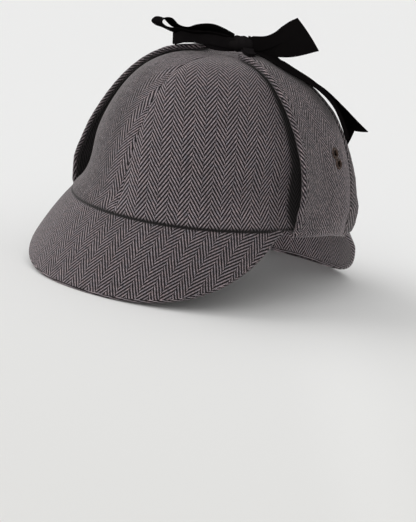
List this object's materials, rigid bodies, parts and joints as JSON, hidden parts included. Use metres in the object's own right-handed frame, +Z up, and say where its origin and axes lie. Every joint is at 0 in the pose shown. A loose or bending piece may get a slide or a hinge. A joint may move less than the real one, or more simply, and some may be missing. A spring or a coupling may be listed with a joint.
{
  "type": "deerstalker hat",
  "caption": "Herringbone tweed deerstalker hat with a peak in front and behind and two ear flaps folded up and tied over the crown with a black ribbon bow.",
  "frame": {"origin": "on the surface the hat rests on, under the middle of the whole hat", "axes": "+Z up, -Y the way the front peak points, +X the wearer's left"},
  "size_m": [0.1864, 0.2497, 0.1743],
  "materials": {
    "tweed": "matt woollen herringbone tweed",
    "facing": "matt woollen tweed facing",
    "ribbon": "black satin-faced ribbon",
    "brass": "antique brown"
  },
  "bodies": {
    "root": {"crown_front_left": "tweed", "crown_front_right": "tweed", "crown_back_left": "tweed", "crown_back_right": "tweed", "front_peak": "tweed", "rear_peak": "tweed", "ear_flap_left": "facing", "ear_flap_right": "facing", "eyelet_left_1": "brass", "eyelet_left_2": "brass", "eyelet_right_1": "brass", "eyelet_right_2": "brass", "bow_knot": "ribbon", "bow_loop_left": "ribbon", "bow_loop_right": "ribbon", "tie_left": "ribbon", "tie_right": "ribbon", "ribbon_tail_left": "ribbon", "ribbon_tail_right": "ribbon"}
  },
  "joints": []
}
